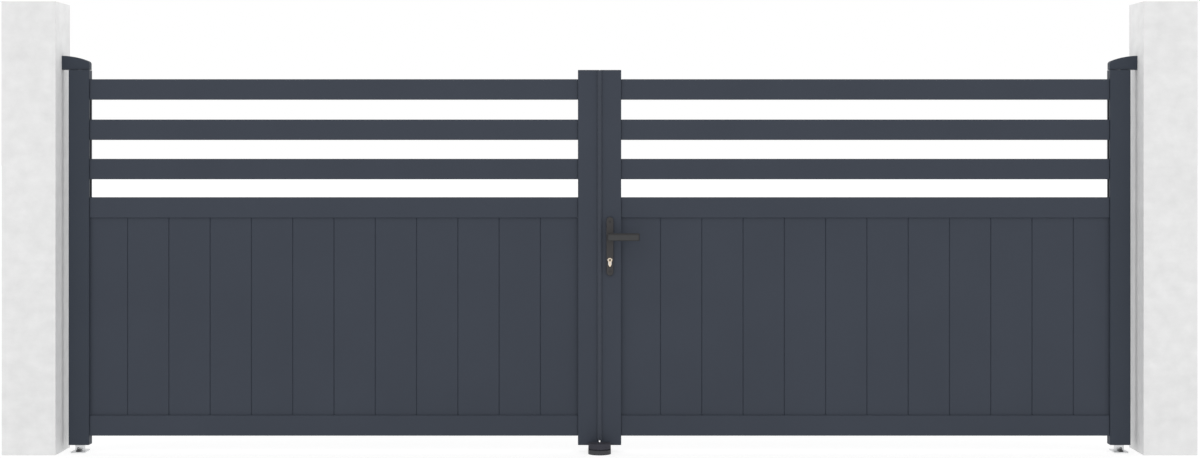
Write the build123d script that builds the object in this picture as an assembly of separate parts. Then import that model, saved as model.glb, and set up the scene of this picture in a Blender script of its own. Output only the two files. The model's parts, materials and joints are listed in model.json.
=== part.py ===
from build123d import *
import os
from math import asin, degrees, sqrt

# Double-leaf driveway swing gate, hung between two rendered masonry pillars.
# Millimetres, +Z up, +X along the gate, +Y into the property. The origin is the centre of the
# left pillar's foot. Both leaves open towards +Y about upright pins at their outer posts.

# Opening and pillars
opening_width = 4000.0
pillar_width = 200.0
pillar_depth = 200.0
pillar_height = 1671.0

# Leaf frame: an outer post on the pins and a meeting stile at the seam
leaf_bottom = 27.0
leaf_height = 1394.0
post_pillar_gap = 26.5
post_width = 76.5
stile_width = 78.0
frame_depth = 48.0
frame_wall = 2.0
frame_edge_radius = 4.0
seam_gap = 5.0

# Caps in the ends of the posts and stiles
cap_thickness = 3.0
cap_edge_radius = 1.0
cap_insert_depth = 15.0
plug_insert_depth = 34.0
insert_clearance = 0.2

# Rails and open slats, all of one profile
rail_height = 76.0
rail_depth = 32.0
rail_wall = 1.8
rail_edge_radius = 3.0
rail_end_chamfer = 1.2
bottom_rail_lift = 33.5
lower_slat_gap = 67.0
middle_slat_gap = 70.5
top_slat_gap = 74.0

# Board panel between the bottom rail and the mid rail
panel_height = 735.0
board_pitch = 153.7
board_joint_count = 11
board_thickness = 18.0
board_wall = 1.5
groove_width = 4.5
groove_depth = 2.5
right_board_shift = 6.5
board_insert = 10.0
channel_depth = 12.0

# Flexible seal on the left leaf, in front of the seam
seal_width = 19.0
seal_lap = 7.0
seal_thickness = 9.0
seal_edge_radius = 7.5
seal_clearance = 0.8
seal_top_drop = 1.0
seal_foot_lift = 19.0

# Top brackets with the upper pins
pin_radius = 8.0
pin_clearance = 0.05
pin_chamfer = 1.5
pin_reach = 26.0
bracket_gap = 1.3
bracket_height = 51.7
bracket_depth = 34.0
bracket_arc_radius = 243.0
bracket_nose_radius = 12.0
bracket_edge_radius = 2.0
bracket_bore_depth = 22.0

# Floor pivots with the lower pins
pivot_plate_width = 52.0
pivot_plate_depth = 84.0
pivot_plate_corner_radius = 5.0
pivot_plate_thickness = 4.0
pivot_block_size = 30.0
pivot_block_edge_radius = 2.0
pivot_seat_clearance = 0.3
pivot_bolt_spacing = 62.0
pivot_bolt_hole_radius = 4.5

# Floor stop in front of the closed leaves
stop_width = 84.0
stop_reach = 74.0
stop_tail = 65.0
stop_base_height = 17.0
stop_base_edge_radius = 2.0
stop_buffer_top = 41.0
stop_buffer_inset = 0.5
stop_buffer_edge_radius = 5.0
stop_buffer_slope = 12.0
stop_neck_height = 3.5
stop_neck_inset = 6.0
stop_leaf_gap = 6.0
stop_bolt_spacing = 50.0
stop_bolt_hole_radius = 4.5
stop_bolt_inset = 17.0
stop_bolt_sink_radius = 10.0
stop_bolt_sink_depth = 6.0

# Lock on the right stile
lock_backset = 36.0
lever_height = 800.0
cylinder_drop = 85.0
plate_width = 26.0
plate_height = 218.0
plate_top_above_lever = 75.0
plate_thickness = 10.0
plate_edge_radius = 3.0
lever_neck_radius = 9.0
lever_stand_off = 41.0
lever_bar_height = 28.0
lever_bar_rise = 2.5
lever_bar_thickness = 14.0
lever_bar_length = 119.0
lever_bar_heel = 10.0
lever_edge_radius = 4.0
spindle_size = 8.0
spindle_hole_clearance = 1.5
cylinder_head_radius = 8.5
cylinder_stem_radius = 5.0
cylinder_height = 33.0
cylinder_proud = 2.0
cylinder_clearance = 0.8

# Places worked out from the sizes above
left_face = pillar_width / 2
right_face = left_face + opening_width
seam_x = left_face + opening_width / 2
front_y = -frame_depth / 2
leaf_top = leaf_bottom + leaf_height
post_centre = post_pillar_gap + post_width / 2
rail_start = post_pillar_gap + post_width
stile_start = opening_width / 2 - seam_gap / 2 - stile_width
stile_centre = stile_start + stile_width / 2
rail_length = stile_start - rail_start
bottom_rail_z = leaf_bottom + bottom_rail_lift
panel_z = bottom_rail_z + rail_height
mid_rail_z = panel_z + panel_height
lower_slat_z = mid_rail_z + rail_height + lower_slat_gap
middle_slat_z = lower_slat_z + rail_height + middle_slat_gap
top_slat_z = middle_slat_z + rail_height + top_slat_gap
channel_foot = bottom_rail_z + rail_height / 2
channel_top = top_slat_z + rail_height / 2
bore_radius = pin_radius + pin_clearance
lock_x = seam_x + seam_gap / 2 + lock_backset
cylinder_z = lever_height - cylinder_drop
plate_centre_z = lever_height + plate_top_above_lever - plate_height / 2

# Solids that stand on their place instead of being centred on it
on_foot = (Align.CENTER, Align.CENTER, Align.MIN)


def across(side, inset):
    """X of the point that lies this far from the side's pillar, towards the seam."""
    if side == "left":
        return left_face + inset
    return right_face - inset


def outline(width, depth, radius):
    """Rectangle in plan, rounded where the radius is more than nothing."""
    if radius > 0:
        return RectangleRounded(width, depth, radius)
    return Rectangle(width, depth)


def tube(width, depth, length, wall, edge_radius):
    """Upright hollow profile standing on the plan's centre."""
    outer = outline(width, depth, edge_radius)
    inner = outline(width - 2 * wall, depth - 2 * wall, edge_radius - wall)
    return extrude(outer - inner, length)


def channel_block(side, face, way, growth):
    """Block as deep as the boards' channel, sunk into an upright's face, or as its lining when grown."""
    depth = channel_depth + growth
    width = board_thickness + 2 * (insert_clearance + growth)
    block = Box(depth, width, channel_top - channel_foot + 2 * growth)
    return Pos(across(side, face - way * depth / 2), 0, (channel_foot + channel_top) / 2) * block


def upright(side, inset, width, way):
    """Post or stile between its end caps, with a channel for the boards' ends.

    The way is 1 where the boards lie on the seam's side of the upright, and -1 on the pillar's side.
    """
    body = tube(width, frame_depth, leaf_height - 2 * cap_thickness, frame_wall, frame_edge_radius)
    body = Pos(across(side, inset), 0, leaf_bottom + cap_thickness) * body
    face = inset + way * width / 2
    return body + channel_block(side, face, way, frame_wall) - channel_block(side, face, way, 0)


def rail(side, foot_z):
    """Level hollow profile from the post's face to the stile's face."""
    body = tube(rail_height, rail_depth, rail_length, rail_wall, rail_edge_radius)
    ends = body.faces().sort_by(Axis.Z)
    rims = ends[0].outer_wire().edges() + ends[-1].outer_wire().edges()
    body = Rot(0, 90, 0) * chamfer(rims, rail_end_chamfer)
    start_x = min(across(side, rail_start), across(side, stile_start))
    return Pos(start_x, 0, foot_z + rail_height / 2) * body


def end_cap(width, insert_depth):
    """Cap whose flange closes a profile's end, with its insert pointing up into the profile."""
    flange = extrude(outline(width, frame_depth, frame_edge_radius), cap_thickness)
    flange = fillet(flange.edges().group_by(Axis.Z)[0], cap_edge_radius)
    shrink = 2 * (frame_wall + insert_clearance)
    insert_outline = outline(width - shrink, frame_depth - shrink, frame_edge_radius - shrink / 2)
    return flange + Pos(0, 0, cap_thickness) * extrude(insert_outline, insert_depth)


def top_and_bottom(cap, x):
    """The cap at the foot of a profile, and its upturned copy at the head."""
    foot = Pos(x, 0, leaf_bottom) * cap
    head = Pos(x, 0, leaf_top) * Rot(180, 0, 0) * cap
    return foot, head


def post_plugs(side):
    """Post caps with a bore for the pivot pins."""
    cap = end_cap(post_width, plug_insert_depth)
    cap -= Cylinder(bore_radius, cap_thickness + plug_insert_depth, align=on_foot)
    return top_and_bottom(cap, across(side, post_centre))


def board_panel(side):
    """Hollow boards between the uprights' channels, with a V groove over each joint on both faces."""
    shift = right_board_shift if side == "right" else 0.0
    first = shift - board_pitch * (board_joint_count - 1) / 2
    joints = [first + board_pitch * number for number in range(board_joint_count)]
    panel_length = rail_length + 2 * board_insert
    plan = Rectangle(panel_length, board_thickness)
    half = board_thickness / 2
    for joint in joints:
        for face in (-1, 1):
            notch = Polygon(
                (joint - groove_width / 2, face * half),
                (joint + groove_width / 2, face * half),
                (joint, face * (half - groove_depth)),
                align=None,
            )
            plan -= notch
    web = groove_width / 2 + board_wall
    starts = [board_wall - panel_length / 2] + [joint + web for joint in joints]
    ends = [joint - web for joint in joints] + [panel_length / 2 - board_wall]
    for start, end in zip(starts, ends):
        plan -= Pos((start + end) / 2, 0) * Rectangle(end - start, board_thickness - 2 * board_wall)
    middle = rail_start + rail_length / 2
    return Pos(across(side, middle), 0, panel_z) * extrude(plan, panel_height)


def meeting_seal():
    """Soft strip on the left stile's front that laps the right stile without touching it."""
    seal_length = leaf_height - seal_top_drop - seal_foot_lift
    right_edge = seam_gap / 2 + seal_lap
    section = Pos(right_edge - seal_width / 2, -seal_thickness / 2) * Rectangle(seal_width, seal_thickness)
    section = fillet(section.vertices().group_by(Axis.Y)[0], seal_edge_radius)
    lap_width = seal_lap + seam_gap
    relief = Pos(right_edge - lap_width / 2, -seal_clearance / 2) * Rectangle(lap_width, seal_clearance)
    body = extrude(section - relief, seal_length)
    return Pos(seam_x, front_y, leaf_bottom + seal_foot_lift) * body


def top_bracket(side):
    """Arched bracket on the pillar's face, bored from below for the upper pin."""
    length = rail_start
    drop = bracket_arc_radius - sqrt(bracket_arc_radius**2 - length**2)
    profile = make_face(
        [
            Line((0, bracket_height), (0, 0)),
            Line((0, 0), (length, 0)),
            Line((length, 0), (length, bracket_height - drop)),
            CenterArc(
                (0, bracket_height - bracket_arc_radius),
                bracket_arc_radius,
                start_angle=90,
                arc_size=-degrees(asin(length / bracket_arc_radius)),
            ),
        ]
    )
    nose = profile.vertices().group_by(Axis.X)[-1].sort_by(Axis.Y)[-1]
    profile = fillet(nose, bracket_nose_radius)
    body = extrude(profile, bracket_depth / 2, both=True)
    rims = body.edges().filter_by(Plane.XY)
    upper_rims = [edge for edge in rims if edge.center().Y > 0 and edge.center().X > 0]
    body = fillet(upper_rims, bracket_edge_radius)
    body = Rot(90, 0, 0) * body
    body -= Pos(post_centre, 0, 0) * Cylinder(bore_radius, bracket_bore_depth, align=on_foot)
    if side == "right":
        body = mirror(body, about=Plane.YZ)
    return Pos(across(side, 0), 0, leaf_top + bracket_gap) * body


def pin(length):
    """Upright pin with both ends chamfered, standing on the origin."""
    body = Cylinder(pin_radius, length, align=on_foot)
    return chamfer(body.edges().filter_by(GeomType.CIRCLE), pin_chamfer)


def top_pin(side):
    """Pin from the bracket's bore down into the post's upper plug."""
    length = bracket_bore_depth + bracket_gap + pin_reach
    return Pos(across(side, post_centre), 0, leaf_top - pin_reach) * pin(length)


def floor_pivot(side):
    """Bolted foot plate with a square block that carries the leaf, and the lower pin."""
    plate = outline(pivot_plate_width, pivot_plate_depth, pivot_plate_corner_radius)
    body = extrude(plate, pivot_plate_thickness)
    block_height = leaf_bottom - pivot_seat_clearance - pivot_plate_thickness
    block = extrude(outline(pivot_block_size, pivot_block_size, pivot_block_edge_radius), block_height)
    body += Pos(0, 0, pivot_plate_thickness) * block
    body += Pos(0, 0, pivot_plate_thickness) * pin(leaf_bottom + pin_reach - pivot_plate_thickness)
    hole = Cylinder(pivot_bolt_hole_radius, pivot_plate_thickness, align=on_foot)
    for end in (-1, 1):
        body -= Pos(0, end * pivot_bolt_spacing / 2, 0) * hole
    return Pos(across(side, post_centre), 0, 0) * body


def round_front(width, start_y, end_y):
    """Plan of a block with a half-round front and a square back."""
    radius = width / 2
    turn_y = start_y + radius
    return make_face(
        [
            Line((-radius, end_y), (-radius, turn_y)),
            CenterArc((0, turn_y), radius, start_angle=180, arc_size=180),
            Line((radius, turn_y), (radius, end_y)),
            Line((radius, end_y), (-radius, end_y)),
        ]
    )


def stop_base():
    """Low base that lies under the seam, round in front and bolted down behind the leaves."""
    body = extrude(round_front(stop_width, front_y - stop_reach, stop_tail), stop_base_height)
    body = fillet(body.edges().group_by(Axis.Z)[-1], stop_base_edge_radius)
    hole = Cylinder(stop_bolt_hole_radius, stop_base_height, align=on_foot)
    sink = Cylinder(stop_bolt_sink_radius, stop_bolt_sink_depth, align=on_foot)
    hole += Pos(0, 0, stop_base_height - stop_bolt_sink_depth) * sink
    for end in (-1, 1):
        body -= Pos(end * stop_bolt_spacing / 2, stop_tail - stop_bolt_inset, 0) * hole
    return Pos(seam_x, 0, 0) * body


def stop_plan(inset):
    """Plan of the stop's block, this far inside the base in front and at the sides."""
    return round_front(stop_width - 2 * inset, front_y - stop_reach + inset, front_y - stop_leaf_gap)


def stop_buffer():
    """Block on a narrower neck, sloped behind, that the closed leaves come to rest against."""
    neck = extrude(stop_plan(stop_neck_inset), stop_neck_height)
    block_height = stop_buffer_top - stop_base_height - stop_neck_height
    block = extrude(stop_plan(stop_buffer_inset), block_height)
    block = fillet(block.edges().group_by(Axis.Z)[-1], stop_buffer_edge_radius)
    body = Pos(0, 0, stop_base_height) * neck + Pos(0, 0, stop_base_height + stop_neck_height) * block
    back_y = front_y - stop_leaf_gap
    slope = Polygon(
        (back_y, stop_buffer_top),
        (back_y - stop_buffer_slope, stop_buffer_top),
        (back_y, stop_buffer_top - stop_buffer_slope),
        align=None,
    )
    body -= Plane.YZ * extrude(slope, stop_width / 2, both=True)
    return Pos(seam_x, 0, 0) * body


def cylinder_outline(growth):
    """Keyhole outline of the lock cylinder, round head above and round-ended stem below."""
    stem_drop = cylinder_height - cylinder_head_radius - cylinder_stem_radius
    head = Circle(cylinder_head_radius + growth)
    stem = Pos(0, -stem_drop / 2) * Rectangle(2 * (cylinder_stem_radius + growth), stem_drop)
    return head + stem + Pos(0, -stem_drop) * Circle(cylinder_stem_radius + growth)


def on_front(sketch, depth):
    """Extrude a front view both ways from the leaf's middle plane."""
    return Rot(90, 0, 0) * extrude(sketch, depth / 2, both=True)


def lock_cuts(hole_radius):
    """Through cuts for the spindle or the lever's neck, and for the cylinder."""
    depth = frame_depth + 4 * plate_thickness
    shaft = Pos(lock_x, 0, lever_height) * on_front(Circle(hole_radius), depth)
    cylinder = Pos(lock_x, 0, cylinder_z) * on_front(cylinder_outline(cylinder_clearance), depth)
    return shaft, cylinder


def right_stile():
    """Meeting stile of the right leaf, cut through for the lock."""
    body = upright("right", stile_centre, stile_width, -1)
    spindle_hole = spindle_size / 2 * sqrt(2) + spindle_hole_clearance
    for cut in lock_cuts(spindle_hole):
        body -= cut
    return body


def lock_plate():
    """Front plate with round ends, on the stile's front face."""
    body = extrude(SlotOverall(plate_height, plate_width, rotation=90), plate_thickness)
    body = fillet(body.edges().group_by(Axis.Z)[-1], plate_edge_radius)
    body = Pos(lock_x, front_y, plate_centre_z) * Rot(90, 0, 0) * body
    for cut in lock_cuts(lever_neck_radius + pin_clearance):
        body -= cut
    return body


def lever():
    """Front lever: a round neck out of the plate and a level bar towards the hinges."""
    bar = extrude(Rectangle(lever_bar_length, lever_bar_height), lever_bar_thickness)
    bar = fillet(bar.edges(), lever_edge_radius)
    bar_x = lever_bar_length / 2 - lever_bar_heel
    bar = Pos(bar_x, lever_bar_rise, plate_thickness + lever_stand_off) * bar
    neck_length = plate_thickness + lever_stand_off + lever_bar_thickness / 2
    neck = Cylinder(lever_neck_radius, neck_length, align=on_foot)
    return Pos(lock_x, front_y, lever_height) * Rot(90, 0, 0) * (bar + neck)


def spindle():
    """Square bar through the stile that joins the two levers."""
    return Pos(lock_x, 0, lever_height) * Box(spindle_size, frame_depth, spindle_size)


def lock_cylinder():
    """Keyed cylinder through the stile and both plates, a little proud of them."""
    depth = frame_depth + 2 * (plate_thickness + cylinder_proud)
    return Pos(lock_x, 0, cylinder_z) * on_front(cylinder_outline(0), depth)


def pillar(side):
    """Rendered masonry pillar."""
    body = Box(pillar_width, pillar_depth, pillar_height, align=on_foot)
    return Pos(across(side, -pillar_width / 2), 0, 0) * body


def behind(shape):
    """Copy of a front piece on the leaf's back face."""
    return mirror(shape, about=Plane.XZ)


def all_nodes():
    """Every piece of the gate under its own name."""
    nodes = {}
    for side in ("left", "right"):
        nodes[f"{side}_pillar"] = pillar(side)
        nodes[f"{side}_top_bracket"] = top_bracket(side)
        nodes[f"{side}_top_pin"] = top_pin(side)
        nodes[f"{side}_floor_pivot"] = floor_pivot(side)
        nodes[f"{side}_hinge_post"] = upright(side, post_centre, post_width, 1)
        nodes[f"{side}_post_foot_plug"], nodes[f"{side}_post_head_plug"] = post_plugs(side)
        stile_caps = top_and_bottom(end_cap(stile_width, cap_insert_depth), across(side, stile_centre))
        nodes[f"{side}_stile_foot_cap"], nodes[f"{side}_stile_head_cap"] = stile_caps
        nodes[f"{side}_bottom_rail"] = rail(side, bottom_rail_z)
        nodes[f"{side}_board_panel"] = board_panel(side)
        nodes[f"{side}_mid_rail"] = rail(side, mid_rail_z)
        nodes[f"{side}_lower_slat"] = rail(side, lower_slat_z)
        nodes[f"{side}_middle_slat"] = rail(side, middle_slat_z)
        nodes[f"{side}_top_slat"] = rail(side, top_slat_z)
    nodes["left_meeting_stile"] = upright("left", stile_centre, stile_width, -1)
    nodes["right_meeting_stile"] = right_stile()
    nodes["meeting_seal"] = meeting_seal()
    nodes["stop_base"] = stop_base()
    nodes["stop_buffer"] = stop_buffer()
    nodes["front_lock_plate"] = lock_plate()
    nodes["back_lock_plate"] = behind(lock_plate())
    nodes["lock_cylinder"] = lock_cylinder()
    nodes["front_lever"] = lever()
    nodes["back_lever"] = behind(lever())
    nodes["lever_spindle"] = spindle()
    return nodes


os.makedirs("parts", exist_ok=True)
for node, shape in all_nodes().items():
    export_step(shape, f"parts/{node}.step")
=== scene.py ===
"""Looks of a double-leaf driveway swing gate between rendered pillars.

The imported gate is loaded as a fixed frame. The add-on below coats its profiles, renders the pillars,
fits the seals, the lock's small pieces and the bolts, and sets a plain pale studio round it all.
"""

import json
import math
from contextlib import contextmanager

import bmesh
import bpy
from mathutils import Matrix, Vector


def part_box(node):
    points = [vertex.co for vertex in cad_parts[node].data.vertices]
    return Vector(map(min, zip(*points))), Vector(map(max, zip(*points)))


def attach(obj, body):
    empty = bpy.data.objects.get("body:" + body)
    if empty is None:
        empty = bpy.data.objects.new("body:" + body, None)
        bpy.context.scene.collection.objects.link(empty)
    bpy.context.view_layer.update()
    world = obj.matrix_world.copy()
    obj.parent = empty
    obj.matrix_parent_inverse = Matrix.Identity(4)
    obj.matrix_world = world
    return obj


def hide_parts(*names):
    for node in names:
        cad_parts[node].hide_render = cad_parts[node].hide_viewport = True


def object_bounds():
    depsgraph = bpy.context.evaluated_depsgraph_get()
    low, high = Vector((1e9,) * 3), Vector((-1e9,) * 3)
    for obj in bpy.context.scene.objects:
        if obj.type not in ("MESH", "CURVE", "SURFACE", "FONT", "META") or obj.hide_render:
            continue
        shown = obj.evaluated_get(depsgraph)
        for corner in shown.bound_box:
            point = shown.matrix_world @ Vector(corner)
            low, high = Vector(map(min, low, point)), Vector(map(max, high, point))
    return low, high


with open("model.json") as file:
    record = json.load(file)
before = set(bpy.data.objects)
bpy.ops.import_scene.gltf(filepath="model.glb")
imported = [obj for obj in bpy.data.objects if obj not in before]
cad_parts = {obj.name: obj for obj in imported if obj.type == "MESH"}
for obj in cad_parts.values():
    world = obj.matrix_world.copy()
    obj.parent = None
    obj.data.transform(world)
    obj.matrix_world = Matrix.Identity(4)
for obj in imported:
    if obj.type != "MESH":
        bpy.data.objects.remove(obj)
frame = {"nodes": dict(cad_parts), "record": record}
cad_low, cad_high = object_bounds()

bl_info = {
    "name": "Double-Leaf Swing Gate",
    "version": (1, 0, 0),
    "blender": (4, 5, 0),
    "location": "View3D > Sidebar > Gate",
    "description": "Finishes, fasteners and rendered pillars for a packed driveway gate",
    "category": "Object",
}

MM = 0.001
SIDES = ("left", "right")
FACES = ("front", "back")
UP = Vector((0.0, 0.0, 1.0))
# How nearly a face's normal or an edge lies along an axis when it is picked
FACING = 0.9
# Edges that are sharper than this are rounded
SHARP = math.radians(35)
SENSOR_WIDTH = 36.0
slot_of_node = {part["node"]: part["material_slot"] for part in frame["record"]["subparts"]}
mounts = {mount["name"]: mount for mount in frame["record"]["mounts"]}


# Settings

def length(name, description, millimetres):
    """A size that a user would change, shown as a length."""
    return bpy.props.FloatProperty(
        name=name, description=description, default=millimetres * MM, min=0.0, unit="LENGTH", precision=5
    )


def share(name, description, default):
    """A plain number from nothing up."""
    return bpy.props.FloatProperty(name=name, description=description, default=default, min=0.0)


def colour(name, description, default):
    """A linear colour."""
    return bpy.props.FloatVectorProperty(
        name=name, description=description, default=default, size=3, min=0.0, max=1.0, subtype="COLOR"
    )


class GateFinishes(bpy.types.PropertyGroup):
    """Colours of the gate's surfaces."""

    coat: colour("Powder coat", "Coat of stiles, rails, slats and boards", (0.0476, 0.0560, 0.0738))
    # Posts and brackets take a darker coat: painted shade for the occlusion they stand in beside the
    # pillars.
    shaded_post_coat: colour("Post coat", "Deeper coat of posts and brackets", (0.0420, 0.0506, 0.0667))
    cap: colour("Caps", "Moulded caps in the stiles' ends", (0.042, 0.049, 0.065))
    seal: colour("Seal", "Rubber strip over the seam", (0.045, 0.053, 0.070))
    zinc: colour("Zinc", "Plated steel of pins and floor pivots", (0.66, 0.67, 0.68))
    bolt: colour("Bolts", "Dark steel of bolts and screws", (0.055, 0.055, 0.058))
    # The gaskets are near black so that the channels read dark: painted shade in the grooves.
    gasket: colour("Gaskets", "Black rubber in the uprights' channels", (0.010, 0.010, 0.011))
    lock: colour("Lock", "Dark satin of the lock's plates", (0.0495, 0.0480, 0.0490))
    # The levers' body is near black and their brushed faces lighter: the dark rim round each face is
    # painted shade.
    lever: colour("Lever", "Black satin of the levers", (0.033, 0.033, 0.034))
    lever_face: colour("Lever face", "Brushed faces let into the levers", (0.0505, 0.0515, 0.0530))
    # Near-black pins paint the shade deep inside the keyholes.
    keyway: colour("Keyway", "Dark pins inside the keyways", (0.012, 0.011, 0.010))
    brass: colour("Brass", "Pale brass of the lock's cylinder", (0.74, 0.63, 0.50))
    # The plugs' brass is darkened so that the cylinder's head reads dark in the middle: painted shade
    # round the keyhole.
    plug: colour("Plug", "Duller brass of the plugs that the key turns", (0.36, 0.31, 0.25))
    stop_base: colour("Stop base", "Moulded base of the floor stop", (0.051, 0.052, 0.058))
    stop_rubber: colour("Stop rubber", "Rubber of the stop's block", (0.043, 0.043, 0.055))
    render: colour("Render", "Pale render of the pillars", (0.765, 0.765, 0.765))


class GateSizes(bpy.types.PropertyGroup):
    """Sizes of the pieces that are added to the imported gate."""

    render_inset: length("Render inset", "How far the render stays inside the masonry's box", 0.05)
    render_swell: length("Render swell", "Depth of the render's slow unevenness", 0.6)
    swell_patch: length("Swell patch", "Width of the render's slow unevenness", 140.0)
    render_trowel: length("Trowel marks", "Depth of the marks of the trowel", 0.3)
    trowel_patch: length("Trowel patch", "Width of the marks of the trowel", 30.0)
    render_mesh: length("Render mesh", "Edge of the render's mesh", 6.0)
    arris: length("Arris", "Radius of the pillars' edges", 1.6)
    seal_clearance: length("Seal clearance", "Room between the seal and the right stile", 0.8)
    case_shrink: length("Case shrink", "How far the cylinder's case stays inside its solid", 0.25)
    stem_radius: length("Stem radius", "Half the width of the cylinder's stem", 4.2)
    plug_radius: length("Plug radius", "Radius of the plug that the key turns", 4.5)
    plug_depth: length("Plug depth", "Depth of the plug's seat", 6.0)
    plug_room: length("Plug room", "Room between a plug and the wall of its seat", 0.2)
    plug_sink: length("Plug sink", "How far a plug lies below the case's end", 0.15)
    keyway_width: length("Keyway width", "Width of the slot for the key", 3.2)
    keyway_height: length("Keyway height", "Height of the slot for the key", 7.0)
    keyway_sink: length("Keyway sink", "How far the keyway's pins lie below its mouth", 0.5)
    screw_radius: length("Screw head", "Radius of the plates' screw heads", 4.2)
    screw_inset: length("Screw inset", "Screw's distance from the plate's end", 16.0)
    face_margin: length("Face margin", "From a lever's lower edge to its brushed face", 2.5)
    face_end: length("Face end", "From a lever's ends to its brushed face", 4.0)
    face_height: length("Face height", "Height of a lever's brushed face", 18.8)
    face_proud: length("Face relief", "How far a lever's brushed face stands proud", 0.4)
    channel_depth: length("Channel depth", "Depth of the uprights' channels", 12.0)
    channel_width: length("Channel width", "Width of the uprights' channels", 18.4)
    gasket_sink: length("Gasket sink", "How far a gasket lies below the upright's face", 0.8)
    gasket_room: length("Gasket room", "Room between a gasket and its channel's walls", 0.3)
    gasket_lip: length("Gasket lip", "Width of the lips along a gasket's groove", 3.0)
    gasket_groove: length("Gasket groove", "Depth of a gasket's groove", 3.0)
    pivot_plate: length("Pivot plate", "Thickness of the floor pivots' plates", 4.0)
    pivot_block: length("Pivot block", "Side of the floor pivots' blocks", 30.0)
    grub_radius: length("Grub screw", "Radius of the screw in a pivot's block", 4.5)
    grub_height: length("Grub screw height", "From the ground to the screw in a pivot's block", 13.0)
    grub_offset: length("Grub screw offset", "From a block's middle to its screw", 4.0)
    stop_bolt_sink: length("Stop bolt sink", "How deep the stop's bolt heads are sunk", 6.0)
    bolt_flats: length("Bolt head", "Width of a bolt's head across its flats", 13.0)
    bolt_head: length("Bolt head height", "Height of a bolt's head", 5.3)
    bolt_shank: length("Bolt shank", "Radius of a bolt's shank", 4.0)
    washer_radius: length("Washer", "Radius of a washer", 8.0)
    washer_height: length("Washer height", "Thickness of a washer", 1.6)


class GateStage(bpy.types.PropertyGroup):
    """Floor, light and camera."""

    distance: length("Camera distance", "From the gate's middle plane to the camera", 7369.0)
    eye_height: length("Eye height", "From the ground to the camera", 1131.0)
    sidestep: length("Sidestep", "How far the camera stands right of the gate's middle", 1.56)
    lens: share("Lens", "Focal length in millimetres on a 36 mm sensor", 59.31)
    shift: bpy.props.FloatProperty(
        name="Shift", description="Rise of the frame, as a share of its width", default=-0.0675
    )
    floor_size: length("Floor", "Side of the floor", 240000.0)
    floor_white: share("Floor white", "Pale colour that light bounces from", 0.6)
    floor_glow: share("Floor glow", "Even light that comes up from the floor", 0.45)
    floor_shade: share("Floor shade", "Pale colour that takes the shadows where the floor is seen", 0.34)
    floor_lift: share("Floor lift", "Light on the floor where it is seen", 0.77)
    sky: share("Sky", "Strength of the even white light all round", 1.0)
    side_sun: share("Side suns", "Strength of the four soft suns that fill the pillars' sides", 0.15)
    side_sun_height: share("Sun height", "Rise of the side suns for each metre across", 0.25)
    side_sun_depth: share("Sun depth", "Reach of the side suns to front or back for each metre", 0.35)
    side_sun_spread: bpy.props.FloatProperty(
        name="Sun spread",
        description="How wide the side suns are",
        default=math.radians(30),
        subtype="ANGLE",
    )


# Modelling helpers

def make_active(piece):
    """Select one piece alone."""
    bpy.ops.object.select_all(action="DESELECT")
    piece.select_set(True)
    bpy.context.view_layer.objects.active = piece


def settle(name):
    """Name the new primitive and put its place, turn and scale into its mesh."""
    bpy.ops.object.transform_apply(location=True, rotation=True, scale=True)
    piece = bpy.context.object
    piece.name = name
    piece.data.name = name
    return piece


def add_block(name, low, high):
    """A block between two corners."""
    low, high = Vector(low), Vector(high)
    bpy.ops.object.select_all(action="DESELECT")
    bpy.ops.mesh.primitive_cube_add(size=1.0, location=(low + high) / 2)
    bpy.context.object.scale = high - low
    return settle(name)


def add_bar(name, centre, radius, depth, along="Z", sides=48):
    """A round bar, or one with few sides, along the Y or the Z axis."""
    turn = (math.pi / 2, 0.0, 0.0) if along == "Y" else (0.0, 0.0, 0.0)
    bpy.ops.object.select_all(action="DESELECT")
    bpy.ops.mesh.primitive_cylinder_add(
        vertices=sides, radius=radius, depth=depth, location=centre, rotation=turn
    )
    return settle(name)


@contextmanager
def editing(piece, kind):
    """Edit mode on one piece, picking faces or edges, with nothing selected at first."""
    make_active(piece)
    bpy.ops.object.mode_set(mode="EDIT")
    bpy.ops.mesh.select_mode(type=kind)
    bpy.ops.mesh.select_all(action="DESELECT")
    yield
    bpy.ops.object.mode_set(mode="OBJECT")


def pick_faces(piece, test):
    """Select the faces whose middle and normal pass a test."""
    mesh = bmesh.from_edit_mesh(piece.data)
    for face in mesh.faces:
        face.select_set(test(face.calc_center_median(), face.normal))
    bmesh.update_edit_mesh(piece.data)


def pick_edges(piece, test):
    """Select the edges whose middle and direction pass a test."""
    mesh = bmesh.from_edit_mesh(piece.data)
    for edge in mesh.edges:
        start, end = (vertex.co for vertex in edge.verts)
        edge.select_set(test((start + end) / 2, (end - start).normalized()))
    bmesh.update_edit_mesh(piece.data)


def finish_with(piece, kind, **settings):
    """Add a modifier and apply it."""
    make_active(piece)
    modifier = piece.modifiers.new(kind.lower(), kind)
    for name, value in settings.items():
        setattr(modifier, name, value)
    bpy.ops.object.modifier_apply(modifier=modifier.name)


def combine(piece, tool, operation):
    """Join or cut the piece with a tool shape, which is used up."""
    finish_with(piece, "BOOLEAN", operation=operation, object=tool, solver="EXACT")
    bpy.data.objects.remove(tool)


def soften(piece, width, segments=2):
    """Round the sharp edges a little and shade the piece smooth between them."""
    finish_with(
        piece, "BEVEL", width=width, segments=segments, limit_method="ANGLE", angle_limit=SHARP
    )
    make_active(piece)
    bpy.ops.object.shade_smooth_by_angle(angle=SHARP)


def join(pieces):
    """Join several shapes into the first one."""
    make_active(pieces[0])
    for piece in pieces[1:]:
        piece.select_set(True)
    bpy.ops.object.join()
    return bpy.context.object


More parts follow.
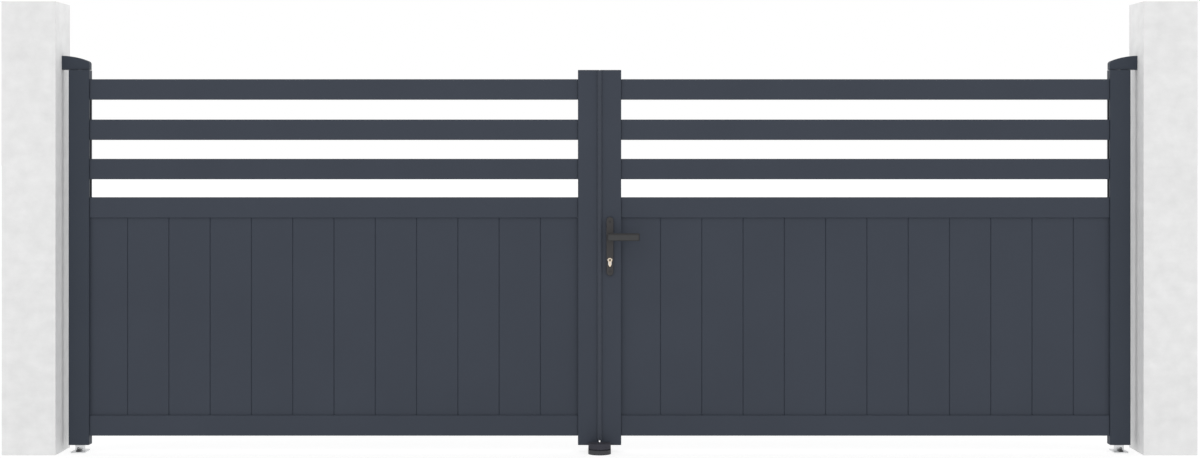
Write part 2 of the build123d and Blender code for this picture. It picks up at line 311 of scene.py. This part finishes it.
def copy_to(piece, name, shift=(0.0, 0.0, 0.0), turn=0.0):
    """A copy with its own mesh, turned about the upright axis through the origin and then moved."""
    make_active(piece)
    bpy.ops.object.duplicate(linked=False)
    copy = bpy.context.object
    copy.rotation_euler = (0.0, 0.0, turn)
    copy.location = shift
    return settle(name)


def spread(places, model):
    """Model a piece at the first of some named places and copy it to the others."""
    (first_name, start), *others = places.items()
    first = model(first_name, start)
    return [first, *(copy_to(first, name, place - start) for name, place in others)]


def behind(piece, name):
    """A copy mirrored to the gate's back, with its faces turned outwards again."""
    make_active(piece)
    bpy.ops.object.duplicate(linked=False)
    copy = bpy.context.object
    copy.scale = (1.0, -1.0, 1.0)
    copy = settle(name)
    with editing(copy, "FACE"):
        bpy.ops.mesh.select_all(action="SELECT")
        bpy.ops.mesh.normals_make_consistent(inside=False)
    return copy


def dress(piece, material, body, replaced=()):
    """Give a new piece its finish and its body."""
    piece.data.materials.clear()
    piece.data.materials.append(material)
    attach(piece, body)
    if replaced:
        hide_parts(*replaced)


def coat_nodes(material, nodes):
    """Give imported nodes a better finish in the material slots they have."""
    for node in nodes:
        for holder in frame["nodes"][node].material_slots:
            holder.material = material


def nodes_in(slot):
    """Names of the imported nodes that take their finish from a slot."""
    return [node for node, name in slot_of_node.items() if name == slot]


# Shader helpers

class Wire:
    """One output of a node tree. Arithmetic on it adds Math nodes."""

    def __init__(self, board, socket):
        self.board = board
        self.socket = socket

    def math(self, operation, first, second):
        return self.board.node("ShaderNodeMath", {"operation": operation}, {0: first, 1: second})

    def __add__(self, other):
        return self.math("ADD", self, other)

    def __radd__(self, other):
        return self.math("ADD", other, self)

    def __sub__(self, other):
        return self.math("SUBTRACT", self, other)

    def __rsub__(self, other):
        return self.math("SUBTRACT", other, self)

    def __mul__(self, other):
        return self.math("MULTIPLY", self, other)

    def __rmul__(self, other):
        return self.math("MULTIPLY", other, self)


class Board:
    """The node tree of one finish."""

    def __init__(self, tree):
        tree.nodes.clear()
        self.tree = tree

    def node(self, kind, settings=None, sockets=None, out=0):
        """Add a node: its settings first, then its sockets' values or links. Returns one output."""
        node = self.tree.nodes.new(kind)
        for name, value in (settings or {}).items():
            setattr(node, name, value)
        for name, value in (sockets or {}).items():
            if isinstance(value, Wire):
                self.tree.links.new(value.socket, node.inputs[name])
            else:
                node.inputs[name].default_value = value
        return Wire(self, node.outputs[out]) if len(node.outputs) else None

    def place(self, stretch=(1.0, 1.0, 1.0)):
        """The piece's own coordinates in metres, stretched along its axes."""
        here = self.node("ShaderNodeTexCoord", out="Object")
        return self.node("ShaderNodeMapping", sockets={"Vector": here, "Scale": stretch})

    def noise(self, place, size, detail=2.0, roughness=0.5):
        """Cloudy noise whose patches are about this large, in metres."""
        return self.node(
            "ShaderNodeTexNoise",
            sockets={"Vector": place, "Scale": 1.0 / size, "Detail": detail, "Roughness": roughness},
        )

    def cells(self, place, size, feature, out):
        """A pattern of small cells, about this large in metres."""
        return self.node(
            "ShaderNodeTexVoronoi",
            {"feature": feature},
            {"Vector": place, "Scale": 1.0 / size},
            out=out,
        )

    def shades(self, factor, rgb, dark, light):
        """One colour that goes from a darker to a lighter shade."""
        sockets = {0: factor, 6: tinted(rgb, dark), 7: tinted(rgb, light)}
        return self.node("ShaderNodeMix", {"data_type": "RGBA"}, sockets, out=2)

    def relief(self, height, depth, strength=1.0):
        """A normal from a height that spans this depth, in metres."""
        sockets = {"Height": height, "Distance": depth, "Strength": strength}
        return self.node("ShaderNodeBump", sockets=sockets)


def tinted(rgb, factor):
    """A colour made lighter or darker, with its alpha."""
    return (*(min(1.0, channel * factor) for channel in rgb), 1.0)


def new_finish(name, make_surface):
    """A material whose surface the function makes on an empty board."""
    material = bpy.data.materials.new(name)
    material.use_nodes = True
    board = Board(material.node_tree)
    surface = make_surface(board)
    board.node("ShaderNodeOutputMaterial", sockets={"Surface": surface})
    return material


def principled(board, **sockets):
    """The surface shader, with sockets named in words joined by underscores."""
    spaced = {name.replace("_", " "): value for name, value in sockets.items()}
    return board.node("ShaderNodeBsdfPrincipled", sockets=spaced)


# Finishes

def powder_coat(name, rgb):
    """Fine-textured satin coat: a sandy grain, a faint orange peel and a slow drift of tone."""

    def surface(board):
        place = board.place()
        drift = board.noise(place, size=350 * MM)
        peel = board.noise(place, size=6 * MM)
        grain = board.noise(place, size=1.6 * MM)
        tone = 0.4 * drift + 0.6 * grain
        return principled(
            board,
            Base_Color=board.shades(tone, rgb, dark=0.82, light=1.18),
            Roughness=0.40 + 0.22 * grain,
            Specular_IOR_Level=0.12,
            Normal=board.relief(0.6 * grain + 0.4 * peel, depth=0.15 * MM, strength=0.7),
        )

    return new_finish(name, surface)


def moulded(name, rgb, grain_size, depth, roughness):
    """Moulded plastic or rubber with a pebbled skin."""

    def surface(board):
        place = board.place()
        pebble = board.cells(place, grain_size, "SMOOTH_F1", "Distance")
        dust = board.noise(place, size=15 * MM, detail=4.0)
        return principled(
            board,
            Base_Color=board.shades(dust, rgb, dark=0.86, light=1.16),
            Roughness=roughness + 0.15 * dust,
            Specular_IOR_Level=0.25,
            Normal=board.relief(1.0 - pebble, depth, strength=0.8),
        )

    return new_finish(name, surface)


def plated_steel(name, rgb):
    """Zinc-plated steel: crystal patches, a soft haze and fine scratches."""

    def surface(board):
        place = board.place()
        spangle = board.cells(place, 5 * MM, "F1", "Color")
        patch = board.node("ShaderNodeSeparateColor", sockets={"Color": spangle})
        haze = board.noise(place, size=12 * MM, detail=4.0)
        drawn_out = board.place(stretch=(1.0, 14.0, 14.0))
        scratch = board.noise(drawn_out, size=6 * MM, detail=3.0)
        tone = 0.6 * patch + 0.4 * haze
        return principled(
            board,
            Base_Color=board.shades(tone, rgb, dark=0.86, light=1.10),
            Metallic=1.0,
            Roughness=0.26 + 0.2 * haze,
            Normal=board.relief(scratch, depth=0.02 * MM, strength=0.5),
        )

    return new_finish(name, surface)


def satin_black(name, rgb):
    """Dark satin of die-cast lock furniture and bolts, with a fine even grain."""

    def surface(board):
        place = board.place()
        cloud = board.noise(place, size=30 * MM, detail=3.0)
        grain = board.noise(place, size=0.7 * MM, detail=1.0)
        return principled(
            board,
            Base_Color=board.shades(cloud, rgb, dark=0.90, light=1.10),
            Roughness=0.40 + 0.12 * grain,
            Specular_IOR_Level=0.2,
            Normal=board.relief(grain, depth=0.02 * MM, strength=0.6),
        )

    return new_finish(name, surface)


def brushed_black(name, rgb):
    """Black anodised metal, brushed along the lever."""

    def surface(board):
        brush = board.noise(board.place(stretch=(0.02, 1.0, 1.0)), size=0.8 * MM)
        cloud = board.noise(board.place(), size=25 * MM, detail=3.0)
        tone = 0.6 * brush + 0.4 * cloud
        return principled(
            board,
            Base_Color=board.shades(tone, rgb, dark=0.84, light=1.16),
            Roughness=0.36 + 0.16 * brush,
            Specular_IOR_Level=0.2,
            Normal=board.relief(brush, depth=0.02 * MM, strength=0.6),
        )

    return new_finish(name, surface)


def turned_brass(name, rgb):
    """Pale machined brass with fine level tool marks."""

    def surface(board):
        marks = board.noise(board.place(stretch=(1.0, 1.0, 30.0)), size=4 * MM, detail=3.0)
        tarnish = board.noise(board.place(), size=3 * MM, detail=4.0)
        return principled(
            board,
            Base_Color=board.shades(tarnish, rgb, dark=0.92, light=1.06),
            Metallic=1.0,
            Roughness=0.20 + 0.12 * tarnish,
            Normal=board.relief(marks, depth=0.01 * MM, strength=0.5),
        )

    return new_finish(name, surface)


def lime_render(name, rgb):
    """Pale trowelled render: soft level smears, cloudy patches and a sandy grain."""

    def surface(board):
        place = board.place()
        cloud = board.noise(place, size=200 * MM, detail=4.0, roughness=0.55)
        patch = board.noise(place, size=50 * MM, detail=3.0)
        smear = board.noise(board.place(stretch=(1.0, 1.0, 2.6)), size=70 * MM, detail=3.0)
        sand = board.noise(place, size=3 * MM, detail=3.0)
        tone = 0.25 * cloud + 0.4 * patch + 0.2 * smear + 0.15 * sand
        return principled(
            board,
            Base_Color=board.shades(tone, rgb, dark=0.80, light=1.20),
            Roughness=0.82 + 0.15 * sand,
            Specular_IOR_Level=0.15,
            Normal=board.relief(0.6 * sand + 0.4 * smear, depth=0.8 * MM, strength=0.5),
        )

    return new_finish(name, surface)


# Pieces

def rendered_pillar(side, sizes):
    """A pillar with soft arrises and an uneven trowelled skin, inside the masonry's box."""
    low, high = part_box(f"{side}_pillar")
    inset = Vector((1.0, 1.0, 1.0)) * sizes.render_inset
    pillar = add_block(f"{side}_rendered_pillar", low + inset, high - inset)
    width = high.x - low.x
    courses = round((high.z - low.z) / width)
    cuts = round(width / sizes.render_mesh) - 1
    with editing(pillar, "FACE"):
        for course in range(1, courses):
            joint = low.lerp(high, course / courses)
            bpy.ops.mesh.select_all(action="SELECT")
            bpy.ops.mesh.bisect(plane_co=joint, plane_no=UP)
        bpy.ops.mesh.select_all(action="SELECT")
        bpy.ops.mesh.subdivide(number_cuts=cuts)
    soften(pillar, sizes.arris, segments=3)
    unevenness = (
        ("swell", sizes.render_swell, sizes.swell_patch),
        ("trowel", sizes.render_trowel, sizes.trowel_patch),
    )
    for name, depth, patch in unevenness:
        clouds = bpy.data.textures.new(f"{side}_{name}", "CLOUDS")
        clouds.noise_scale = patch
        finish_with(
            pillar, "DISPLACE", texture=clouds, texture_coords="LOCAL", strength=depth, mid_level=1.0
        )
    make_active(pillar)
    bpy.ops.object.shade_smooth()
    return pillar


def seal_strip(sizes):
    """A half-oval rubber strip, seated on the left stile and clear of the right one."""
    low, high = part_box("meeting_seal")
    seat_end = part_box("left_meeting_stile")[1].x
    centre = (low + high) / 2
    strip = add_bar("meeting_seal_strip", (0.0, 0.0, 0.0), 1.0, high.z - low.z, sides=72)
    strip.scale = ((high.x - low.x) / 2, high.y - low.y, 1.0)
    strip.location = (centre.x, high.y, centre.z)
    make_active(strip)
    strip = settle(strip.name)
    step = 0.2 * MM
    crease = math.radians(40)
    with editing(strip, "FACE"):
        bpy.ops.mesh.select_all(action="SELECT")
        bpy.ops.mesh.bisect(plane_co=high, plane_no=(0.0, 1.0, 0.0), use_fill=True, clear_outer=True)
        for cut in (seat_end - step, seat_end):
            bpy.ops.mesh.select_all(action="SELECT")
            bpy.ops.mesh.bisect(plane_co=(cut, 0.0, 0.0), plane_no=(1.0, 0.0, 0.0))
        pick_faces(strip, lambda middle, normal: normal.y > FACING and middle.x > seat_end)
        bpy.ops.transform.translate(value=(0.0, -sizes.seal_clearance, 0.0))
    make_active(strip)
    bpy.ops.object.shade_smooth_by_angle(angle=crease)
    return strip


def channel_gasket(sizes):
    """A grooved near-black rubber strip in the left post's channel, from the mid rail to the top slat;
    its black paints the channel's shade.
    """
    low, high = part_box("left_mid_rail")
    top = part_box("left_top_slat")[0].z
    outer = low.x - sizes.gasket_sink
    inner = low.x - (sizes.channel_depth - sizes.gasket_room)
    half = sizes.channel_width / 2 - sizes.gasket_room
    edge = 0.8 * MM
    gasket = add_block("left_hinge_post_gasket", (inner, -half, high.z), (outer, half, top))
    with editing(gasket, "FACE"):
        pick_faces(gasket, lambda middle, normal: normal.x > FACING)
        bpy.ops.mesh.inset(thickness=sizes.gasket_lip, depth=0.0)
        bpy.ops.mesh.extrude_region_move(
            TRANSFORM_OT_translate={"value": (-sizes.gasket_groove, 0.0, 0.0)}
        )
    soften(gasket, edge)
    return gasket


def lever_face(sizes):
    """The brushed face of the front lever, a little proud of the lever's bar, whose darker rim round it
    is painted shade.
    """
    low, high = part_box("front_lever")
    corner, edge = 1.5 * MM, 0.25 * MM
    foot = low.z + sizes.face_margin
    face = add_block(
        "front_lever_face",
        (low.x + sizes.face_end, low.y - sizes.face_proud, foot),
        (high.x - sizes.face_end, low.y + 2 * sizes.face_proud, foot + sizes.face_height),
    )
    with editing(face, "EDGE"):
        pick_edges(face, lambda middle, way: abs(way.y) > FACING)
        bpy.ops.mesh.bevel(offset=corner, segments=4, affect="EDGES")
    soften(face, edge)
    return face


def cylinder_body(sizes):
    """The lock cylinder's case: a round head over a round-ended stem, with a seat for each plug."""
    low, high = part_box("lock_cylinder")
    solid_radius = (high.x - low.x) / 2
    head_radius = solid_radius - sizes.case_shrink
    middle_x = (low.x + high.x) / 2
    head_z = high.z - solid_radius
    length_y = high.y - low.y
    foot_z = low.z + sizes.case_shrink
    near, edge = 0.1 * MM, 0.35 * MM
    # A hair under the stem's half width, so that the two rounds of its foot stay apart
    foot_round = 0.998 * sizes.stem_radius
    centre = (middle_x, 0.0, head_z)
    case = add_bar("lock_cylinder_case", centre, head_radius, length_y, along="Y", sides=64)
    foot_corner = (middle_x - sizes.stem_radius, low.y, foot_z)
    head_corner = (middle_x + sizes.stem_radius, high.y, head_z)
    stem = add_block("stem", foot_corner, head_corner)
    with editing(stem, "EDGE"):
        pick_edges(stem, lambda middle, way: abs(way.y) > FACING and middle.z < foot_z + near)
        bpy.ops.mesh.bevel(offset=foot_round, segments=10, affect="EDGES")
    combine(case, stem, "UNION")
    seat_radius = sizes.plug_radius + sizes.plug_room
    for face in (low.y, high.y):
        seat = add_bar("seat", (middle_x, face, head_z), seat_radius, 2 * sizes.plug_depth, along="Y")
        combine(case, seat, "DIFFERENCE")
    soften(case, edge)
    return case


def cylinder_plug(sizes):
    """The front plug that the key turns, with its keyway, and the near-black pins inside that, which
    paint the keyhole's shade.
    """
    low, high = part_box("lock_cylinder")
    middle_x = (low.x + high.x) / 2
    head_z = high.z - (high.x - low.x) / 2
    front = low.y + sizes.plug_sink
    middle_y = front + sizes.plug_depth / 2
    centre = (middle_x, middle_y, head_z)
    plug = add_bar("front_lock_plug", centre, sizes.plug_radius, sizes.plug_depth, along="Y")
    half_width = sizes.keyway_width / 2
    half_height = sizes.keyway_height / 2
    keyway_share, edge, room = 0.9, 0.25 * MM, 0.1 * MM
    pin_step, pin_sink, pin_rise = 0.3 * half_width, 0.4 * MM, 0.6 * MM
    slot_end = front + keyway_share * sizes.plug_depth
    keyway = add_block(
        "keyway",
        (middle_x - half_width, front - sizes.plug_depth, head_z - half_height),
        (middle_x + half_width, slot_end, head_z + half_height),
    )
    combine(plug, keyway, "DIFFERENCE")
    soften(plug, edge)
    pins = add_block(
        "front_keyway_pins",
        (middle_x - half_width + room, front + sizes.keyway_sink, head_z - half_height + room),
        (middle_x + half_width - room, slot_end - room, head_z + half_height - room),
    )
    with editing(pins, "FACE"):
        pick_faces(pins, lambda middle, normal: normal.y < -FACING)
        for rise in (-pin_sink, pin_rise):
            bpy.ops.mesh.inset(thickness=pin_step, depth=rise)
    soften(pins, room)
    return plug, pins


def plate_screw(sizes):
    """A raised screw head with a six-sided socket, at the top of the front plate."""
    low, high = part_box("front_lock_plate")
    place = Vector(((low.x + high.x) / 2, low.y, high.z - sizes.screw_inset))
    radius = sizes.screw_radius
    thickness, edge = 2.4 * MM, 0.2 * MM
    socket_radius, socket_length, socket_rise = 0.38 * radius, 6 * MM, 2 * MM
    crown = ((0.3 * radius, 0.5 * MM), (0.25 * radius, 0.15 * MM))
    screw = add_bar("front_top_plate_screw", place, radius, thickness, along="Y")
    with editing(screw, "FACE"):
        pick_faces(screw, lambda middle, normal: normal.y < -FACING)
        for inset, rise in crown:
            bpy.ops.mesh.inset(thickness=inset, depth=rise)
    socket = add_bar("socket", place, socket_radius, socket_length, along="Y", sides=6)
    socket.location.y = -socket_rise
    combine(screw, socket, "DIFFERENCE")
    soften(screw, edge)
    return screw


def grub_screw(name, place, sizes):
    """A socket screw in the front of a pivot's block, with a dished end."""
    radius = sizes.grub_radius
    thickness, edge = 3 * MM, 0.15 * MM
    rim, dish = 0.35 * radius, 0.6 * MM
    socket_radius, socket_length = 0.5 * radius, 2.4 * MM
    screw = add_bar(name, place, radius, thickness, along="Y")
    with editing(screw, "FACE"):
        pick_faces(screw, lambda middle, normal: normal.y < -FACING)
        bpy.ops.mesh.inset(thickness=rim, depth=-dish)
    socket = add_bar("socket", place, socket_radius, socket_length, along="Y", sides=6)
    combine(screw, socket, "DIFFERENCE")
    soften(screw, edge)
    return screw


def hex_bolt(name, seat, sizes, drop):
    """A six-sided bolt head on a washer, with its shank down the hole below the seat."""
    washer_edge, head_edge, shank_edge = 0.3 * MM, 0.35 * MM, 0.5 * MM
    chamfer, chamfer_rise = 0.9 * MM, 0.5 * MM
    washer_middle = seat + UP * sizes.washer_height / 2
    washer = add_bar("washer", washer_middle, sizes.washer_radius, sizes.washer_height)
    soften(washer, washer_edge)
    corner_radius = sizes.bolt_flats / math.sqrt(3)
    head_middle = seat + UP * (sizes.washer_height + sizes.bolt_head / 2)
    head = add_bar("head", head_middle, corner_radius, sizes.bolt_head, sides=6)
    with editing(head, "FACE"):
        pick_faces(head, lambda middle, normal: normal.z > FACING)
        bpy.ops.mesh.inset(thickness=chamfer, depth=0.0)
        bpy.ops.transform.translate(value=UP * chamfer_rise)
    soften(head, head_edge)
    shank = add_bar("shank", seat - UP * drop / 2, sizes.bolt_shank, drop)
    soften(shank, shank_edge)
    bolt = join([washer, head, shank])
    bolt.name = name
    bolt.data.name = name
    return bolt


# Stage

def add_sun(way, stage, lit):
    """A wide soft sun that fills one group of pieces from one way, and shows in no reflection."""
    bpy.ops.object.light_add(type="SUN", location=way)
    sun = bpy.context.object
    sun.rotation_euler = way.to_track_quat("Z", "Y").to_euler()
    sun.visible_camera = False
    sun.visible_glossy = False
    sun.data.energy = stage.side_sun
    sun.data.angle = stage.side_sun_spread
    sun.data.use_shadow = False
    sun.light_linking.receiver_collection = lit


def seen_rays(board):
    """One for rays from the camera, from a reflection or through glass, and nothing for the rest."""
    camera, glossy, glass = (
        board.node("ShaderNodeLightPath", out=name)
        for name in ("Is Camera Ray", "Is Glossy Ray", "Is Transmission Ray")
    )
    return board.node("ShaderNodeMath", {"operation": "MINIMUM"}, {0: camera + glossy + glass, 1: 1.0})


def pale_floor(stage):
    """A pale floor that lights the gate from below, and is white with soft shadows where it is seen."""

    def lit(board, pale, strength):
        matt = board.node("ShaderNodeBsdfDiffuse", sockets={"Color": (pale, pale, pale, 1.0)})
        glow = board.node("ShaderNodeEmission", sockets={"Strength": strength})
        return board.node("ShaderNodeAddShader", sockets={0: matt, 1: glow})

    def surface(board):
        unseen = lit(board, stage.floor_white, stage.floor_glow)
        seen = lit(board, stage.floor_shade, stage.floor_lift)
        return board.node("ShaderNodeMixShader", sockets={0: seen_rays(board), 1: unseen, 2: seen})

    return new_finish("pale_floor", surface)


def even_sky(stage):
    """An even white sky."""
    world = bpy.data.worlds.new("even_sky")
    world.use_nodes = True
    board = Board(world.node_tree)
    white = (1.0, 1.0, 1.0, 1.0)
    sky = board.node("ShaderNodeBackground", sockets={"Color": white, "Strength": stage.sky})
    board.node("ShaderNodeOutputWorld", sockets={"Surface": sky})
    return world


# Operators

class GATE_OT_render_pillars(bpy.types.Operator):
    """Stand a rendered pillar in each masonry block's place"""

    bl_idname = "gate.render_pillars"
    bl_label = "Render the pillars"

    def execute(self, context):
        render = lime_render("lime_render", context.scene.gate_finishes.render)
        for side in SIDES:
            pillar = rendered_pillar(side, context.scene.gate_sizes)
            dress(pillar, render, "surround", [f"{side}_pillar"])
        return {"FINISHED"}


class GATE_OT_coat_frame(bpy.types.Operator):
    """Powder-coat the posts, brackets, stiles, rails, slats and board panels, and finish the caps"""

    bl_idname = "gate.coat_frame"
    bl_label = "Coat the frame"

    def execute(self, context):
        finishes = context.scene.gate_finishes
        coat_nodes(powder_coat("powder_coat", finishes.coat), nodes_in("paint"))
        # The posts and brackets get the darker coat, which paints the shade they stand in beside the
        # pillars.
        post_nodes = [node for node in nodes_in("paint") if "post" in node or "bracket" in node]
        coat_nodes(powder_coat("shaded_post_coat", finishes.shaded_post_coat), post_nodes)
        plastic = moulded(
            "moulded_cap", finishes.cap, grain_size=1.2 * MM, depth=0.05 * MM, roughness=0.5
        )
        coat_nodes(plastic, nodes_in("cap"))
        return {"FINISHED"}


class GATE_OT_fit_seal(bpy.types.Operator):
    """Fit the rubber strip over the seam and the gaskets in the uprights' channels, whose near-black
    paints the channels' shade
    """

    bl_idname = "gate.fit_seal"
    bl_label = "Fit the seals"

    def execute(self, context):
        finishes = context.scene.gate_finishes
        sizes = context.scene.gate_sizes
        skin = {"grain_size": 0.8 * MM, "depth": 0.02 * MM}
        rubber = moulded("seal_rubber", finishes.seal, **skin, roughness=0.55)
        dress(seal_strip(sizes), rubber, "left_leaf", ["meeting_seal"])
        # Near-black gaskets paint the shade in the channels.
        shade_black_rubber = moulded("gasket_rubber_painted_shade", finishes.gasket, **skin, roughness=0.6)
        (left_low, left_high), (right_low, right_high) = (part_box(f"{side}_mid_rail") for side in SIDES)
        gasket = channel_gasket(sizes)
        dress(gasket, shade_black_rubber, "left_leaf")
        copies = (
            ("left_meeting_stile_gasket", "left_leaf", left_low.x + left_high.x, math.pi),
            ("right_hinge_post_gasket", "right_leaf", left_low.x + right_high.x, math.pi),
            ("right_meeting_stile_gasket", "right_leaf", right_low.x - left_low.x, 0.0),
        )
        for name, body, across, turn in copies:
            dress(copy_to(gasket, name, (across, 0.0, 0.0), turn), shade_black_rubber, body)
        return {"FINISHED"}


class GATE_OT_fit_lock(bpy.types.Operator):
    """Finish the lock's plates and levers, and fit the cylinder, the plugs and the plates' screws"""

    bl_idname = "gate.fit_lock"
    bl_label = "Fit the lock"

    def execute(self, context):
        finishes = context.scene.gate_finishes
        sizes = context.scene.gate_sizes
        black = satin_black("lock_black", finishes.lock)
        coat_nodes(black, ["front_lock_plate", "back_lock_plate"])
        # The levers' dark body paints a shaded outline round their lighter faces.
        coat_nodes(satin_black("lever_black_rim_shade", finishes.lever), ["front_lever", "back_lever"])
        brass = turned_brass("cylinder_brass", finishes.brass)
        dress(cylinder_body(sizes), brass, "right_leaf", ["lock_cylinder"])
        brushed = brushed_black("lever_brushed", finishes.lever_face)
        front_face = lever_face(sizes)
        dress(front_face, brushed, "handle")
        dress(behind(front_face, "back_lever_face"), brushed, "handle")
        low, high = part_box("front_lock_plate")
        half_turn = {"shift": (low.x + high.x, 0.0, 0.0), "turn": math.pi}
        # The keyway's pins are near black: painted shade inside the keyhole.
        painted_shade_pins = satin_black("keyway_painted_shade", finishes.keyway)
        front_plug, front_pins = cylinder_plug(sizes)
        # The plugs' darker brass paints the shade round the keyhole.
        shade_darkened_brass = turned_brass("plug_brass_painted_shade", finishes.plug)
        inner = ((front_plug, shade_darkened_brass, "lock_plug"), (front_pins, painted_shade_pins, "keyway_pins"))
        for piece, finish, name in inner:
            dress(piece, finish, "right_leaf")
            dress(copy_to(piece, f"back_{name}", **half_turn), finish, "right_leaf")
        top_screw = plate_screw(sizes)
        drop = (0.0, 0.0, 2 * sizes.screw_inset - (high.z - low.z))
        foot_screw = copy_to(top_screw, "front_foot_plate_screw", drop)
        back_top_screw = copy_to(top_screw, "back_top_plate_screw", **half_turn)
        back_foot_screw = copy_to(foot_screw, "back_foot_plate_screw", **half_turn)
        for screw in (top_screw, foot_screw, back_top_screw, back_foot_screw):
            dress(screw, black, "right_leaf")
        return {"FINISHED"}


class GATE_OT_fit_pivots(bpy.types.Operator):
    """Plate the pins, the spindle and the floor pivots, and fit the pivots' bolts and grub screws"""

    bl_idname = "gate.fit_pivots"
    bl_label = "Fit the pivots"

    def execute(self, context):
        finishes = context.scene.gate_finishes
        sizes = context.scene.gate_sizes
        coat_nodes(plated_steel("zinc_plate", finishes.zinc), nodes_in("zinc"))
        dark_steel = satin_black("bolt_steel", finishes.bolt)
        seats, ends = {}, {}
        for side, grub_offset in zip(SIDES, (-sizes.grub_offset, sizes.grub_offset)):
            mount = mounts[f"{side}_floor_pivot_bolts"]
            reach = mount["dims"]["spacing_y_mm"] * MM / 2
            x, y, _ = mount["pos_m"]
            for face, offset in zip(FACES, (-reach, reach)):
                seats[f"{side}_{face}_pivot_bolt"] = Vector((x, y + offset, sizes.pivot_plate))
            block_front = y - sizes.pivot_block / 2
            ends[f"{side}_grub_screw"] = Vector((x + grub_offset, block_front, sizes.grub_height))
        bolts = spread(seats, lambda name, seat: hex_bolt(name, seat, sizes, sizes.pivot_plate))
        screws = spread(ends, lambda name, end: grub_screw(name, end, sizes))
        for piece in (*bolts, *screws):
            dress(piece, dark_steel, "surround")
        return {"FINISHED"}


class GATE_OT_fit_stop(bpy.types.Operator):
    """Finish the floor stop and bolt it down"""

    bl_idname = "gate.fit_stop"
    bl_label = "Fit the floor stop"

    def execute(self, context):
        finishes = context.scene.gate_finishes
        sizes = context.scene.gate_sizes
        plastic = moulded(
            "stop_plastic", finishes.stop_base, grain_size=1.0 * MM, depth=0.05 * MM, roughness=0.5
        )
        rubber = moulded(
            "stop_rubber", finishes.stop_rubber, grain_size=2.6 * MM, depth=0.5 * MM, roughness=0.7
        )
        coat_nodes(plastic, ["stop_base"])
        coat_nodes(rubber, ["stop_buffer"])
        dark_steel = satin_black("stop_bolt_steel", finishes.bolt)
        mount = mounts["stop_bolts"]
        reach = mount["dims"]["spacing_x_mm"] * MM / 2
        x, y, _ = mount["pos_m"]
        seat_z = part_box("stop_base")[1].z - sizes.stop_bolt_sink
        seats = {
            f"{side}_stop_bolt": Vector((x + offset, y, seat_z))
            for side, offset in zip(SIDES, (-reach, reach))
        }
        for bolt in spread(seats, lambda name, seat: hex_bolt(name, seat, sizes, seat_z)):
            dress(bolt, dark_steel, "surround")
        return {"FINISHED"}


class GATE_OT_set_stage(bpy.types.Operator):
    """Lay a pale floor, set soft even light and stand the camera square to the gate"""

    bl_idname = "gate.set_stage"
    bl_label = "Set the stage"

    def execute(self, context):
        scene = context.scene
        stage = scene.gate_stage
        middle_x = (cad_low.x + cad_high.x) / 2
        bpy.ops.object.select_all(action="DESELECT")
        bpy.ops.mesh.primitive_plane_add(size=stage.floor_size, location=(middle_x, 0.0, 0.0))
        floor = settle("floor")
        floor.data.materials.append(pale_floor(stage))
        scene.world = even_sky(stage)
        pillars = bpy.data.collections.new("pillars")
        for side in SIDES:
            pillars.objects.link(bpy.data.objects[f"{side}_rendered_pillar"])
        for across in (-1.0, 1.0):
            for along in (-stage.side_sun_depth, stage.side_sun_depth):
                add_sun(Vector((across, along, stage.side_sun_height)), stage, pillars)
        bpy.ops.object.camera_add(
            location=(middle_x + stage.sidestep, -stage.distance, stage.eye_height),
            rotation=(math.pi / 2, 0.0, 0.0),
        )
        camera = context.object
        camera.data.lens = stage.lens
        camera.data.sensor_width = SENSOR_WIDTH
        camera.data.shift_y = stage.shift
        scene.camera = camera
        scene.view_settings.view_transform = "Standard"
        return {"FINISHED"}


# Sidebar and registration

SETTINGS = {"gate_finishes": GateFinishes, "gate_sizes": GateSizes, "gate_stage": GateStage}
OPERATORS = (
    GATE_OT_render_pillars,
    GATE_OT_coat_frame,
    GATE_OT_fit_seal,
    GATE_OT_fit_lock,
    GATE_OT_fit_pivots,
    GATE_OT_fit_stop,
    GATE_OT_set_stage,
)


class GATE_PT_sidebar(bpy.types.Panel):
    """Steps and settings of the gate"""

    bl_idname = "GATE_PT_sidebar"
    bl_label = "Swing Gate"
    bl_space_type = "VIEW_3D"
    bl_region_type = "UI"
    bl_category = "Gate"

    def draw(self, context):
        for operator in OPERATORS:
            self.layout.operator(operator.bl_idname)
        for name, group in SETTINGS.items():
            box = self.layout.box()
            for setting in group.__annotations__:
                box.prop(getattr(context.scene, name), setting)


CLASSES = (*SETTINGS.values(), *OPERATORS, GATE_PT_sidebar)


def register():
    for cls in CLASSES:
        bpy.utils.register_class(cls)
    for name, group in SETTINGS.items():
        setattr(bpy.types.Scene, name, bpy.props.PointerProperty(type=group))


def unregister():
    for name in SETTINGS:
        delattr(bpy.types.Scene, name)
    for cls in reversed(CLASSES):
        bpy.utils.unregister_class(cls)


def main():
    register()
    bpy.ops.gate.render_pillars()
    bpy.ops.gate.coat_frame()
    bpy.ops.gate.fit_seal()
    bpy.ops.gate.fit_lock()
    bpy.ops.gate.fit_pivots()
    bpy.ops.gate.fit_stop()
    bpy.ops.gate.set_stage()


if __name__ == "__main__":
    main()
